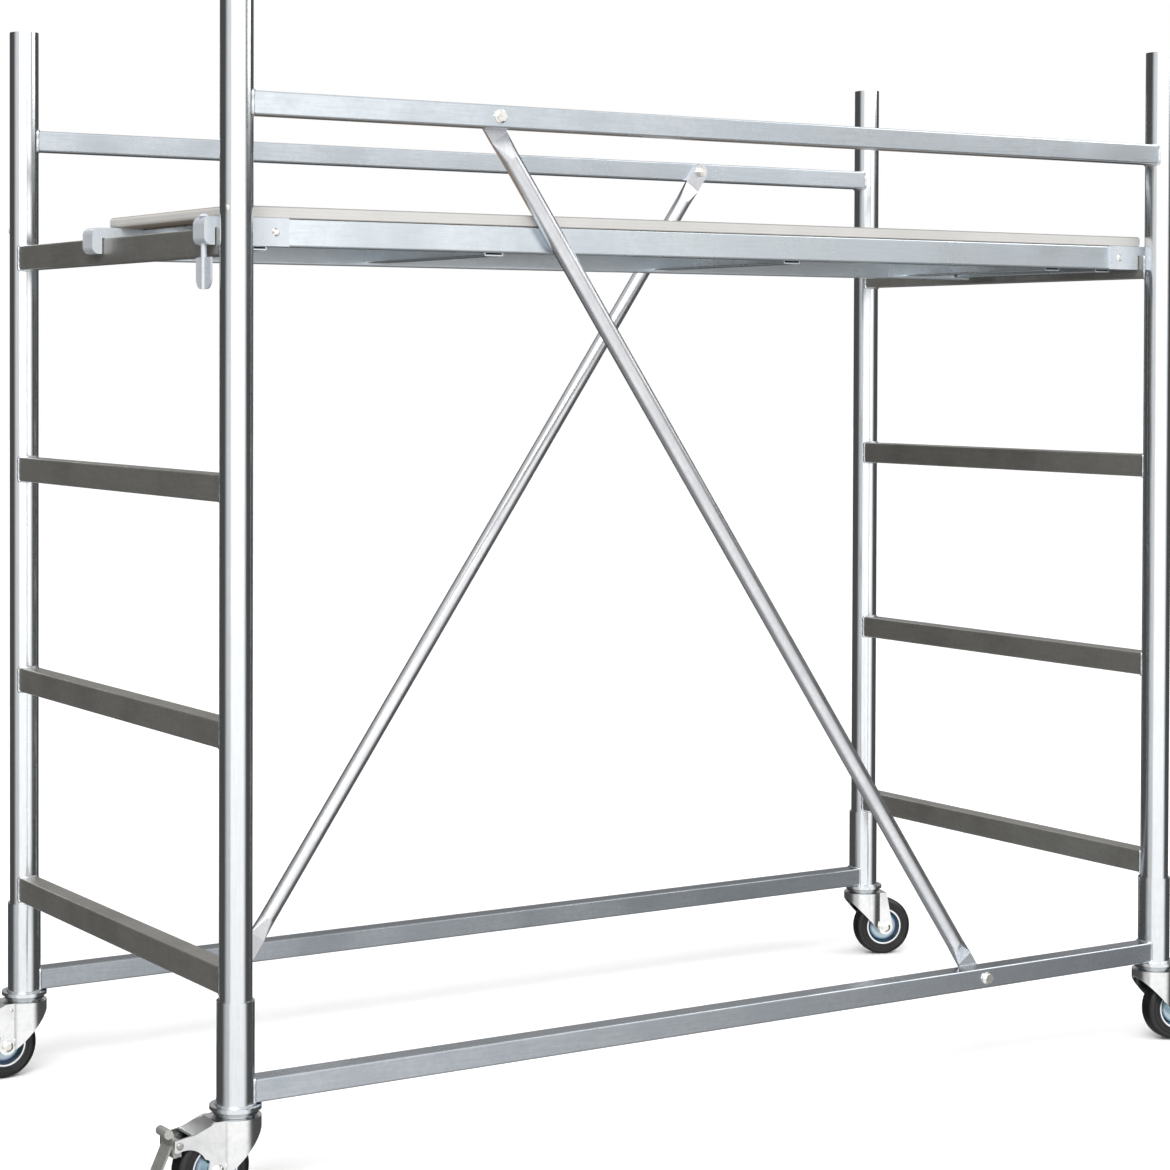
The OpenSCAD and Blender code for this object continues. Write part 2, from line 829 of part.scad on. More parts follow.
module rim() {
    half = tyre_w / 2 - 1;
    lip = 2.5;
    dish = 5;
    color("lightsteelblue")
        translate([caster_trail, 0, wheel_r])
            rotate([90, 0, 0])
                rotate_extrude() {
                    translate([rim_r - lip, -half]) square([lip, 2 * half]);
                    translate([bearing_d / 2, -hub_len / 2])
                        square([(hub_d - bearing_d) / 2, hub_len]);
                    for (s = [0, 1])
                        mirror([0, s])
                            polygon([
                                [hub_d / 2 - 1, dish], [hub_d / 2 - 1, dish + lip],
                                [rim_r - 8, dish + lip], [rim_r - lip + eps, half],
                                [rim_r - lip + eps, half - lip], [rim_r - 7, dish]
                            ]);
                }
}

module bearing() {
    color("dimgray")
        translate([caster_trail, 0, wheel_r])
            rotate([90, 0, 0])
                difference() {
                    cylinder(d = bearing_d - 0.1, h = hub_len, center = true);
                    cylinder(r = axle_d / 2 + axle_play, h = hub_len + 1, center = true);
                }
}

// Brake pedal with its pivot pin, shoe, tread and rolled release tab
module pedal() {
    wall_half = leg_in - 1.5;
    pivot_z = wheel_r + brake_pivot_rise;
    shoe_low = pivot_z - 15;
    shoe_x = caster_trail
        + sqrt(pow(wheel_r + shoe_gap, 2) - pow(shoe_low - wheel_r, 2));
    tread_z = pivot_z - 2;
    tread_x = pedal_wall_x + pedal_t;
    color("gray") {
        translate([brake_pivot_x, 0, pivot_z])
            rotate([90, 0, 0]) cylinder(d = brake_pin_d, h = 2 * leg_out + 1, center = true);
        for (s = [-1, 1])
            translate([brake_pivot_x, s * (leg_out + 0.4), pivot_z])
                rotate([-90 * s, 0, 0]) cylinder(d1 = brake_pin_d * 1.6, d2 = brake_pin_d, h = pin_head_h);
        translate([brake_pivot_x - 4, -wall_half, pivot_z - 5])
            cube([8, 2 * wall_half, 10]);
        translate([pedal_wall_x - 2, -wall_half, shoe_low])
            cube([pedal_t + 2, 2 * wall_half, pivot_z + 8 - shoe_low]);
        translate([shoe_x, -tyre_w / 2, shoe_low])
            cube([pedal_wall_x - shoe_x, tyre_w, 8]);
        translate([tread_x - 1, -pedal_w / 2, tread_z])
            rotate([0, -pedal_slope, 0])
                translate([0, 0, -pedal_len]) pedal_tread();
        translate([tread_x + pedal_roll_r - 2, 0, pivot_z + 14])
            rotate([90, 0, 0]) cylinder(r = pedal_roll_r, h = pedal_w, center = true);
        translate([pedal_wall_x, -pedal_w / 2, pivot_z])
            cube([pedal_t, pedal_w, 14]);
    }
}

module pedal_tread() {
    cube([pedal_t, pedal_w, pedal_len]);
    translate([pedal_t / 2, 0, 0]) rotate([-90, 0, 0]) cylinder(d = pedal_t, h = pedal_w, $fn = 32);
}

mid() ladder_post(LEFT, FRONT);  // front_left_post
mid() ladder_post(LEFT, REAR);  // rear_left_post
mid() ladder_post(RIGHT, FRONT);  // front_right_post
mid() ladder_post(RIGHT, REAR);  // rear_right_post
mid() ladder_rungs(LEFT);  // left_rungs
mid() ladder_rungs(RIGHT);  // right_rungs
mid() base_sleeve(LEFT, FRONT);  // front_left_sleeve
mid() base_sleeve(LEFT, REAR);  // rear_left_sleeve
mid() base_sleeve(RIGHT, FRONT);  // front_right_sleeve
mid() base_sleeve(RIGHT, REAR);  // rear_right_sleeve
mid() base_bar(FRONT);  // front_base_bar
mid() base_bar(REAR);  // rear_base_bar
mid() guard_upright(LEFT, FRONT);  // front_left_upright
mid() guard_upright(LEFT, REAR);  // rear_left_upright
mid() guard_upright(RIGHT, FRONT);  // front_right_upright
mid() guard_upright(RIGHT, REAR);  // rear_right_upright
mid() guard_rail(FRONT);  // front_guard_rail
mid() guard_rail(REAR);  // rear_guard_rail
mid() brace(FRONT);  // front_brace
mid() brace(REAR);  // rear_brace
mid() brace_bolts();
mid() brace_nuts();
mid() caster_races();
mid() kingpins();
mid() deck_board();
mid() platform_front_beam();
mid() platform_rear_beam();
mid() platform_cross_members();
mid() claw(LEFT, FRONT, true);  // front_left_claw
mid() claw(LEFT, REAR, false);  // rear_left_claw
mid() claw(RIGHT, FRONT, false);  // front_right_claw
mid() claw(RIGHT, REAR, false);  // rear_right_claw
mid() claw_rivets();
mid() deck_screws();
mid() lift_lock();
mid() at_caster(LEFT, FRONT, front_left_turn) fork(true);  // front_left_fork
mid() at_caster(LEFT, FRONT, front_left_turn) axle();  // front_left_axle
mid() at_caster(LEFT, FRONT, front_left_turn) tyre();  // front_left_tyre
mid() at_caster(LEFT, FRONT, front_left_turn) rim();  // front_left_rim
mid() at_caster(LEFT, FRONT, front_left_turn) bearing();  // front_left_bearing
mid() at_caster(LEFT, REAR, rear_left_turn) fork(true);  // rear_left_fork
mid() at_caster(LEFT, REAR, rear_left_turn) axle();  // rear_left_axle
mid() at_caster(LEFT, REAR, rear_left_turn) tyre();  // rear_left_tyre
mid() at_caster(LEFT, REAR, rear_left_turn) rim();  // rear_left_rim
mid() at_caster(LEFT, REAR, rear_left_turn) bearing();  // rear_left_bearing
mid() at_caster(RIGHT, FRONT, front_right_turn) fork(false);  // front_right_fork
mid() at_caster(RIGHT, FRONT, front_right_turn) axle();  // front_right_axle
mid() at_caster(RIGHT, FRONT, front_right_turn) tyre();  // front_right_tyre
mid() at_caster(RIGHT, FRONT, front_right_turn) rim();  // front_right_rim
mid() at_caster(RIGHT, FRONT, front_right_turn) bearing();  // front_right_bearing
mid() at_caster(RIGHT, REAR, rear_right_turn) fork(false);  // rear_right_fork
mid() at_caster(RIGHT, REAR, rear_right_turn) axle();  // rear_right_axle
mid() at_caster(RIGHT, REAR, rear_right_turn) tyre();  // rear_right_tyre
mid() at_caster(RIGHT, REAR, rear_right_turn) rim();  // rear_right_rim
mid() at_caster(RIGHT, REAR, rear_right_turn) bearing();  // rear_right_bearing
mid() at_caster(LEFT, FRONT, front_left_turn) pedal();  // front_left_pedal
mid() at_caster(LEFT, REAR, rear_left_turn) pedal();  // rear_left_pedal
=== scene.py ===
"""A mobile room scaffold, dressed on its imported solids."""

import json
import logging
import math
from dataclasses import dataclass, field
from enum import Enum
from typing import Any, Callable, Sequence

import bpy
from mathutils import Matrix, Vector


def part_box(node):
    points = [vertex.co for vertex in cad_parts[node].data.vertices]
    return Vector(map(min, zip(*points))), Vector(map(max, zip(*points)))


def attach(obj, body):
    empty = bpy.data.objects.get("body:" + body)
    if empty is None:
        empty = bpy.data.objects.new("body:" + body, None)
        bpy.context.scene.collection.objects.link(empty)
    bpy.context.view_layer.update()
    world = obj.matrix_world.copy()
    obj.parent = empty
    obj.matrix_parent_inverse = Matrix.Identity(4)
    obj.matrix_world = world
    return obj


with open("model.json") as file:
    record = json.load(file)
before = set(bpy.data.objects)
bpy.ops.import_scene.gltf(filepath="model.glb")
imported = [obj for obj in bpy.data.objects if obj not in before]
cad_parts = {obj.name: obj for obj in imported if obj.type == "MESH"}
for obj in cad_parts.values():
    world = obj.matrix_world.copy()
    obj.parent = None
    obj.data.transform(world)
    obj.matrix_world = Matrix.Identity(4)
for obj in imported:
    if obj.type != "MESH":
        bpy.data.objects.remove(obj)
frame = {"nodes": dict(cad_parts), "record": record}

log = logging.getLogger("scaffold")

Colour = tuple[float, float, float]
Point = tuple[float, float, float]


class Grain(Enum):
    """The way a finish's drawing lines and streaks run."""

    ALONG = (1.0, 14.0, 14.0)
    ACROSS = (14.0, 1.0, 14.0)
    UPRIGHT = (14.0, 14.0, 1.0)
    NONE = (1.0, 1.0, 1.0)


class Corner(Enum):
    """The scaffold's four corners, by the names of their pieces."""

    FRONT_LEFT = "front_left"
    REAR_LEFT = "rear_left"
    FRONT_RIGHT = "front_right"
    REAR_RIGHT = "rear_right"


class Sock:
    """A shader socket on which Python arithmetic adds Math nodes."""

    def __init__(self, tree: "Tree", link: bpy.types.NodeSocket) -> None:
        """Wraps a socket.

        Args:
            tree: The tree that the socket belongs to.
            link: The output socket.
        """
        self.tree = tree
        self.link = link

    def _math(self, operation: str, *operands: Any) -> "Sock":
        """Adds one Math node.

        Args:
            operation: The node's operation.
            operands: Sockets or numbers, in order.

        Returns:
            The node's result.
        """
        return self.tree.node("ShaderNodeMath", {"operation": operation}, dict(enumerate(operands)))

    def __add__(self, other: Any) -> "Sock":
        """Returns self + other."""
        return self._math("ADD", self, other)

    def __radd__(self, other: Any) -> "Sock":
        """Returns other + self."""
        return self._math("ADD", other, self)

    def __sub__(self, other: Any) -> "Sock":
        """Returns self - other."""
        return self._math("SUBTRACT", self, other)

    def __rsub__(self, other: Any) -> "Sock":
        """Returns other - self."""
        return self._math("SUBTRACT", other, self)

    def __mul__(self, other: Any) -> "Sock":
        """Returns self * other."""
        return self._math("MULTIPLY", self, other)

    def __rmul__(self, other: Any) -> "Sock":
        """Returns other * self."""
        return self._math("MULTIPLY", other, self)

    def __neg__(self) -> "Sock":
        """Returns -self."""
        return self._math("MULTIPLY", self, -1.0)

    def sine(self) -> "Sock":
        """Returns the sine of self."""
        return self._math("SINE", self)

    def step(self, low: float, high: float) -> "Sock":
        """Eases from 0 at low to 1 at high.

        Args:
            low: The value that gives 0.
            high: The value that gives 1.

        Returns:
            The eased value.
        """
        settings = {"interpolation_type": "SMOOTHSTEP"}
        values = {"Value": self, "From Min": low, "From Max": high}
        return self.tree.node("ShaderNodeMapRange", settings, values)


class Tree:
    """A node tree that is being filled."""

    def __init__(self, nodes: bpy.types.NodeTree) -> None:
        """Empties a node tree and keeps it.

        Args:
            nodes: The tree of a material or world.
        """
        self.nodes = nodes
        nodes.nodes.clear()

    def node(
        self, kind: str, settings: dict[str, Any], inputs: dict[Any, Any], out: Any = 0
    ) -> Sock:
        """Adds any node.

        Args:
            kind: The node's type.
            settings: Its settings, which are set first. "stops" are a ramp's stops.
            inputs: Values or links of its sockets, by name or number.
            out: The output that is wanted, by name or number.

        Returns:
            The wanted output.
        """
        made = self.nodes.nodes.new(kind)
        for key, value in settings.items():
            if key == "stops":
                self._stops(made.color_ramp, value)
            else:
                setattr(made, key, value)
        for key, value in inputs.items():
            socket = made.inputs[key]
            if isinstance(value, Sock):
                self.nodes.links.new(value.link, socket)
            elif isinstance(value, tuple) and socket.type == "RGBA" and len(value) == 3:
                socket.default_value = (*value, 1.0)
            else:
                socket.default_value = value
        wanted = made.outputs[out] if len(made.outputs) else None
        return Sock(self, wanted)

    @staticmethod
    def _stops(ramp: bpy.types.ColorRamp, stops: Sequence[tuple[float, Colour]]) -> None:
        """Sets a ramp's stops.

        Args:
            ramp: The ramp.
            stops: Places and colours.
        """
        while len(ramp.elements) < len(stops):
            ramp.elements.new(0.5)
        for element, (place, colour) in zip(ramp.elements, stops):
            element.position = place
            element.color = (*colour, 1.0)

    def place(self, stretch: Point = (1.0, 1.0, 1.0)) -> Sock:
        """Returns the point on the piece, scaled by stretch on each axis."""
        point = self.node("ShaderNodeTexCoord", {}, {}, "Object")
        return self.node("ShaderNodeMapping", {}, {"Vector": point, "Scale": stretch})

    def noise(self, where: Sock, scale: float, detail: float = 3.0, rough: float = 0.5) -> Sock:
        """Returns a noise value of a scale, detail and roughness at where."""
        values = {"Vector": where, "Scale": scale, "Detail": detail, "Roughness": rough}
        return self.node("ShaderNodeTexNoise", {}, values, 0)

    def blend(self, amount: Any, first: Any, second: Any) -> Sock:
        """Mixes two colours.

        Args:
            amount: The share of the second colour.
            first: A colour or link.
            second: A colour or link.

        Returns:
            The mixed colour.
        """
        settings = {"data_type": "RGBA"}
        return self.node("ShaderNodeMix", settings, {0: amount, 6: first, 7: second}, 2)

    def vector(self, operation: str, inputs: dict[int, Any], out: Any = 0) -> Sock:
        """Returns the wanted output of a Vector Math node's operation on its inputs."""
        return self.node("ShaderNodeVectorMath", {"operation": operation}, inputs, out)

    def part(self, vector: Sock, axis: int) -> Sock:
        """Returns a vector's part along an axis, 0 to 2."""
        return self.node("ShaderNodeSeparateXYZ", {}, {0: vector}, axis)

    def bump(self, height: Sock, strength: float, distance: float) -> Sock:
        """Returns a normal that a height bends by strength over distance."""
        values = {"Height": height, "Strength": strength, "Distance": distance}
        return self.node("ShaderNodeBump", {}, values)


def new_material(name: str, build: Callable[[Tree], Sock]) -> bpy.types.Material:
    """Makes a material.

    Args:
        name: The material's name.
        build: Fills a tree and returns the shader.

    Returns:
        The material.
    """
    material = bpy.data.materials.new(name)
    material.use_nodes = True
    tree = Tree(material.node_tree)
    shader = build(tree)
    tree.node("ShaderNodeOutputMaterial", {}, {"Surface": shader})
    return material


@dataclass(frozen=True)
class Zinc:
    """Zinc plating: drawn lines, cloudy smudges and fine pits."""

    name: str
    light: Colour
    dark: Colour
    rough: tuple[float, float] = (0.2, 0.36)
    grain: Grain = Grain.NONE
    smudge: float = 0.5
    smudge_size: float = 9.0
    pits: float = 0.12
    metallic: float = 1.0

    def material(self) -> bpy.types.Material:
        """Returns the finish's material."""
        return new_material(self.name, self._shade)

    def _shade(self, tree: Tree) -> Sock:
        """Builds the plating.

        Args:
            tree: The material's tree.

        Returns:
            The shader.
        """
        drawn = tree.noise(tree.place(self.grain.value), 22.0, 4.0, 0.6)
        cloud = tree.noise(tree.place(), self.smudge_size, 4.0, 0.55).step(0.38, 0.68)
        speck = tree.noise(tree.place(), 900.0, 2.0, 0.7)
        spangle = tree.noise(tree.place(), 120.0, 1.0, 0.4)
        wear = cloud * self.smudge + drawn.step(0.3, 0.75) * (0.55 - 0.4 * self.smudge)
        shade = tree.blend(wear, self.light, self.dark)
        tint = tree.blend(spangle.step(0.45, 0.62) * 0.18, shade, self.dark)
        low, high = self.rough
        rough = low + (high - low) * (0.6 * cloud + 0.4 * drawn)
        height = drawn * 0.5 + speck * self.pits + spangle * 0.1
        values = {
            "Base Color": tint,
            "Metallic": self.metallic,
            "Roughness": rough,
            "Normal": tree.bump(height, 0.12, 0.0006),
        }
        return tree.node("ShaderNodeBsdfPrincipled", {}, values)


@dataclass(frozen=True)
class Dish:
    """A wheel's pressed dish with its light painted in rings: a painted highlight on the lip,
    painted shade in the bluish well and a paler painted sheen on the middle.
    """

    name: str
    centre: Point
    axis: Point
    lip_radius: float = 0.0286
    well_radius: float = 0.0215
    ridges: float = 5200.0
    # Ring colours of painted light: a near-white painted highlight on the lip, dark teal and violet
    # painted shade in the well, a paler painted sheen on the middle disc.
    lip_highlight: Colour = (0.97, 0.98, 1.0)
    well_shade: Colour = (0.2, 0.31, 0.37)
    violet_shade: Colour = (0.27, 0.31, 0.44)
    disc_sheen: Colour = (0.46, 0.56, 0.61)

    def material(self) -> bpy.types.Material:
        """Returns the dish's material."""
        return new_material(self.name, self._shade)

    def _shade(self, tree: Tree) -> Sock:
        """Builds the plated dish.

        Args:
            tree: The material's tree.

        Returns:
            The shader.
        """
        away = tree.vector("SUBTRACT", {0: tree.place(), 1: self.centre})
        swept = tree.vector("CROSS_PRODUCT", {0: away, 1: self.axis})
        radius = tree.vector("LENGTH", {0: swept}, "Value")
        cloud = tree.noise(tree.place(), 26.0, 3.0, 0.5).step(0.4, 0.62)
        speck = tree.noise(tree.place(), 700.0, 2.0, 0.7)
        ridge = (radius * self.ridges).sine()
        # Painted shade in the well, tinted teal to violet at random.
        tint = tree.blend(cloud, self.well_shade, self.violet_shade)
        inner = radius.step(self.well_radius - 0.0015, self.well_radius + 0.0005)
        outer = radius.step(self.lip_radius - 0.0006, self.lip_radius + 0.0004)
        # Rings by radius: painted sheen in the middle, painted shade in the well, painted highlight
        # on the lip.
        shade = tree.blend(outer, tree.blend(inner, self.disc_sheen, tint), self.lip_highlight)
        values = {
            "Base Color": shade,
            "Metallic": 1.0,
            "Roughness": 0.16 + cloud * 0.12,
            "Normal": tree.bump(ridge * 0.25 + speck * 0.15, 0.12, 0.0004),
        }
        return tree.node("ShaderNodeBsdfPrincipled", {}, values)


@dataclass(frozen=True)
class Board:
    """A film-faced plywood board: plies on its edges and a gripping mesh on its faces."""

    name: str
    face: Colour
    ply: Colour
    glue: Colour
    thickness: float
    top: float
    plies: float = 3.5
    mesh: float = 700.0
    film: float = 0.0016
    seam: Colour = (0.2, 0.2, 0.19)

    def material(self) -> bpy.types.Material:
        """Returns the board's material."""
        return new_material(self.name, self._shade)

    def _shade(self, tree: Tree) -> Sock:
        """Builds the board.

        Args:
            tree: The material's tree.

        Returns:
            The shader.
        """
        place = tree.place()
        normal = tree.node("ShaderNodeNewGeometry", {}, {}, "Normal")
        upward = tree.part(normal, 2)
        height = tree.part(place, 2)
        flat = upward._math("ABSOLUTE", upward).step(0.6, 0.9)
        fibre = tree.noise(tree.place((2.0, 2.0, 60.0)), 18.0, 5.0, 0.6)
        layer = (height - (self.top - self.thickness)) * (math.tau * self.plies / self.thickness)
        lines = (layer + fibre * 1.6).sine().step(0.55, 1.0)
        stain = tree.noise(place, 5.0, 4.0, 0.6).step(0.35, 0.75)
        plies = tree.blend(lines * 0.16 + stain * 0.3, self.ply, self.glue)
        above = (height - self.top).step(-self.film, -self.film * 0.4)
        below = (self.top - self.thickness - height).step(-self.film, -self.film * 0.4)
        edge = tree.blend((above + below) * 0.75, plies, self.seam)
        worn = tree.noise(tree.place((1.0, 3.0, 1.0)), 7.0, 5.0, 0.65).step(0.42, 0.8)
        grip = self._grip(tree)
        face = tree.blend(worn * 0.45 + grip * 0.15, self.face, self.ply)
        bump = tree.bump(grip * flat * 0.8 + fibre * 0.3, 0.35, 0.0008)
        values = {
            "Base Color": tree.blend(flat, edge, face),
            "Roughness": 0.72 - grip * flat * 0.2 + stain * 0.1,
            "Normal": bump,
        }
        return tree.node("ShaderNodeBsdfPrincipled", {}, values)

    def _grip(self, tree: Tree) -> Sock:
        """Returns the raised mesh that is pressed into the film."""
        first = (tree.part(tree.place(), 0) * self.mesh).sine()
        second = (tree.part(tree.place(), 1) * self.mesh).sine()
        return first._math("MAXIMUM", first, second).step(0.55, 0.95)


@dataclass(frozen=True)
class Rubber:
    """Moulded rubber with dust in its grain."""

    name: str
    light: Colour
    dark: Colour

    def material(self) -> bpy.types.Material:
        """Returns the rubber's material."""
        return new_material(self.name, self._shade)

    def _shade(self, tree: Tree) -> Sock:
        """Builds the rubber.

        Args:
            tree: The material's tree.

        Returns:
            The shader.
        """
        dust = tree.noise(tree.place(), 34.0, 5.0, 0.65).step(0.45, 0.8)
        grain = tree.noise(tree.place(), 650.0, 2.0, 0.6)
        values = {
            "Base Color": tree.blend(dust * 0.6, self.dark, self.light),
            "Roughness": 0.34 + dust * 0.16,
            "Normal": tree.bump(grain, 0.25, 0.0004),
            "Specular IOR Level": 0.55,
        }
        return tree.node("ShaderNodeBsdfPrincipled", {}, values)


class Finishes:
    """Every finish on the scaffold."""

    def __init__(self, board_top: float, board_thickness: float) -> None:
        """Makes the materials.

        Args:
            board_top: Height of the deck's upper face, in metres.
            board_thickness: Thickness of the deck board, in metres.
        """
        white = (0.86, 0.88, 0.9)
        self.post = Zinc(
            "post_zinc", white, (0.76, 0.8, 0.82), (0.1, 0.18), Grain.UPRIGHT, smudge=0.22,
        ).material()
        self.sleeve = Zinc(
            "sleeve_zinc", white, (0.72, 0.76, 0.79), (0.11, 0.2), Grain.UPRIGHT, smudge=0.3,
        ).material()
        self.rung = Zinc(
            "rung_zinc", (0.45, 0.44, 0.41), (0.29, 0.28, 0.26), (0.26, 0.44), Grain.ACROSS,
            smudge=0.6, smudge_size=9.0, pits=0.12, metallic=0.74,
        ).material()
        self.bar = Zinc(
            "bar_zinc", (0.6, 0.64, 0.68), (0.46, 0.5, 0.55), (0.2, 0.34), Grain.ALONG,
            smudge=0.55, smudge_size=7.0,
        ).material()
        # Painted shade: a darker copy of the bar plating, for the rear base bar.
        self.shaded_bar = Zinc(
            "shaded_bar_zinc", (0.4, 0.43, 0.46), (0.29, 0.32, 0.35), (0.22, 0.36), Grain.ALONG,
            smudge=0.55, smudge_size=7.0,
        ).material()
        self.rail = Zinc(
            "rail_zinc", (0.76, 0.81, 0.85), (0.58, 0.64, 0.69), (0.18, 0.32), Grain.ALONG,
            smudge=0.55, smudge_size=7.0,
        ).material()
        # Painted shade: a darker copy of the rail plating, for the rear guard rail.
        self.shaded_rail = Zinc(
            "shaded_rail_zinc", (0.62, 0.66, 0.7), (0.48, 0.53, 0.57), (0.2, 0.34), Grain.ALONG,
            smudge=0.55, smudge_size=7.0,
        ).material()
        self.brace = Zinc(
            "brace_zinc", (0.76, 0.77, 0.79), (0.6, 0.61, 0.63), (0.24, 0.38), Grain.UPRIGHT,
            smudge=0.4,
        ).material()
        self.beam = Zinc(
            "beam_zinc", (0.82, 0.88, 0.92), (0.66, 0.72, 0.77), (0.22, 0.38), Grain.ALONG,
            smudge=0.6, smudge_size=7.0,
        ).material()
        self.claw = Zinc(
            "claw_zinc", (0.68, 0.72, 0.76), (0.58, 0.62, 0.66), (0.2, 0.32), Grain.NONE,
            smudge=0.3, smudge_size=25.0, pits=0.12, metallic=0.2,
        ).material()
        self.fork = Zinc(
            "fork_zinc", (0.96, 0.96, 0.96), (0.74, 0.75, 0.76), (0.15, 0.26), Grain.NONE,
            smudge=0.35, smudge_size=30.0,
        ).material()
        self.bolt = Zinc(
            "bolt_zinc", (0.95, 0.94, 0.9), (0.66, 0.64, 0.58), (0.14, 0.28), Grain.NONE,
            smudge=0.35, smudge_size=60.0,
        ).material()
        self.race = Zinc(
            "race_zinc", (0.55, 0.58, 0.6), (0.32, 0.34, 0.36), (0.16, 0.3), Grain.NONE,
            smudge=0.4, smudge_size=40.0,
        ).material()
        self.bearing = Zinc(
            "bearing_steel", (0.5, 0.5, 0.51), (0.25, 0.25, 0.25), (0.2, 0.4), Grain.NONE,
            smudge=0.4, smudge_size=60.0,
        ).material()
        self.pedal = Zinc(
            "pedal_zinc", (0.5, 0.5, 0.47), (0.34, 0.34, 0.32), (0.25, 0.4), Grain.NONE,
            smudge=0.5, smudge_size=30.0, pits=0.12, metallic=0.55,
        ).material()
        self.weld = Zinc(
            "weld_zinc", (0.72, 0.75, 0.78), (0.45, 0.47, 0.5), (0.22, 0.4), Grain.NONE,
            smudge=0.4, smudge_size=80.0, pits=0.4,
        ).material()
        self.board = Board(
            "deck_board", (0.3, 0.22, 0.16), (0.62, 0.61, 0.59), (0.42, 0.41, 0.38),
            board_thickness, board_top,
        ).material()
        self.tyre = Rubber("tyre_rubber", (0.03, 0.03, 0.032), (0.006, 0.006, 0.0065)).material()


def dress(node: str, material: bpy.types.Material) -> None:
    """Gives a carried-over solid its material.

    Args:
        node: The solid's name.
        material: Its finish.
    """
    mesh = frame["nodes"][node].data
    mesh.materials.clear()
    mesh.materials.append(material)
    for face in mesh.polygons:
        face.material_index = 0
    log.info("dressed %s with %s", node, material.name)


def middle(node: str) -> Vector:
    """Returns the middle of a solid's box."""
    low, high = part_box(node)
    return (low + high) / 2


@dataclass
class Beads:
    """Weld beads that follow closed or open paths."""

    name: str
    body: str
    slot: str
    radius: float = 0.0021
    ripple: float = 0.16
    paths: list[list[Point]] = field(default_factory=list)
    closed: bool = True

    def round_tube(
        self,
        axis: Vector,
        along: Vector,
        centre: Vector,
        width: float,
        height: float,
        radius: float,
    ) -> None:
        """Adds the bead where a rectangular bar meets an upright tube.

        Args:
            axis: A point on the tube's axis.
            along: The bar's direction, away from the tube.
            centre: The bar's height, in its Z.
            width: The bar's width.
            height: The bar's height.
            radius: The tube's radius.
        """
        side = Vector((-along.y, along.x, 0))
        path = []
        for a, b in outline(width, height, 0.0025, 0.004):
            reach = math.sqrt(max(radius * radius - a * a, 0.0)) + self.radius * 0.3
            foot = Vector((axis.x, axis.y, centre.z))
            point = foot + along * reach + side * a + Vector((0, 0, b))
            path.append(tuple(point))
        self.paths.append(path)

    def ring(self, centre: Vector, radius: float) -> None:
        """Adds a level circle.

        Args:
            centre: Its centre.
            radius: Its radius.
        """
        count = max(24, int(math.tau * radius / 0.0035))
        turns = [math.tau * i / count for i in range(count)]
        x, y, z = centre
        path = [(x + radius * math.cos(t), y + radius * math.sin(t), z) for t in turns]
        self.paths.append(path)

    def build(self, material: bpy.types.Material) -> bpy.types.Object:
        """Makes all beads one mesh.

        Args:
            material: Their finish.

        Returns:
            The piece.
        """
        curve = bpy.data.curves.new(self.name, "CURVE")
        curve.dimensions = "3D"
        curve.bevel_depth = self.radius
        curve.bevel_resolution = 2
        for path in self.paths:
            spline = curve.splines.new("POLY")
            spline.points.add(len(path) - 1)
            for i, (point, co) in enumerate(zip(spline.points, path)):
                point.co = (*co, 1.0)
                wave = math.sin(i * 2.1) + 0.5 * math.sin(i * 0.9 + len(path))
                point.radius = 1.0 + self.ripple * wave
            spline.use_cyclic_u = self.closed
        holder = bpy.data.objects.new(self.name + "_path", curve)
        bpy.context.scene.collection.objects.link(holder)
        bpy.context.view_layer.update()
        swept = holder.evaluated_get(bpy.context.evaluated_depsgraph_get())
        mesh = bpy.data.meshes.new_from_object(swept)
        bpy.data.objects.remove(holder)
        return place_piece(self.name, mesh, material, self.body)


@dataclass
class Turned:
    """Small turned and pressed heads, each swept round its own axis."""

    name: str
    body: str
    slot: str
    sides: int = 28
    points: list[Point] = field(default_factory=list)
    faces: list[tuple[int, ...]] = field(default_factory=list)

    def add(self, foot: Vector, way: Vector, profile: Sequence[tuple[float, float]]) -> None:
        """Adds one head.

        Args:
            foot: The middle of its foot.
            way: The direction in which it stands.
            profile: Radii and heights, from its foot to its top.
        """
        axis = way.normalized()
        first = axis.orthogonal().normalized()
        second = axis.cross(first)
        start = len(self.points)
        for radius, height in profile:
            for k in range(self.sides):
                t = math.tau * k / self.sides
                spoke = first * math.cos(t) + second * math.sin(t)
                self.points.append(tuple(foot + axis * height + spoke * radius))
        for i in range(len(profile) - 1):
            low = start + i * self.sides
            for k in range(self.sides):
                m = (k + 1) % self.sides
                self.faces.append((low + k, low + m, low + self.sides + m, low + self.sides + k))
        top = start + (len(profile) - 1) * self.sides
        self.faces.append(tuple(range(start + self.sides - 1, start - 1, -1)))
        self.faces.append(tuple(range(top, top + self.sides)))

    def build(self, material: bpy.types.Material) -> bpy.types.Object:
        """Makes all heads one mesh.

        Args:
            material: Their finish.

        Returns:
            The piece.
        """
        mesh = bpy.data.meshes.new(self.name)
        mesh.from_pydata(self.points, [], self.faces)
        return place_piece(self.name, mesh, material, self.body)


def dome(radius: float, height: float) -> list[tuple[float, float]]:
    """Returns a domed head's profile, sunk a little into what it stands on."""
    turns = [math.pi / 2 * i / 6 for i in range(6)]
    curve = [(radius * math.cos(t), height * math.sin(t)) for t in turns]
    return [(radius, -0.0004)] + curve + [(radius * 0.12, height)]


def washer(radius: float, thickness: float) -> list[tuple[float, float]]:
    """Returns a washer's profile, with its upper edge broken."""
    edge = thickness * 0.3
    return [
        (radius, -0.0002),
        (radius, thickness - edge),
        (radius - edge, thickness),
        (radius * 0.55, thickness),
    ]


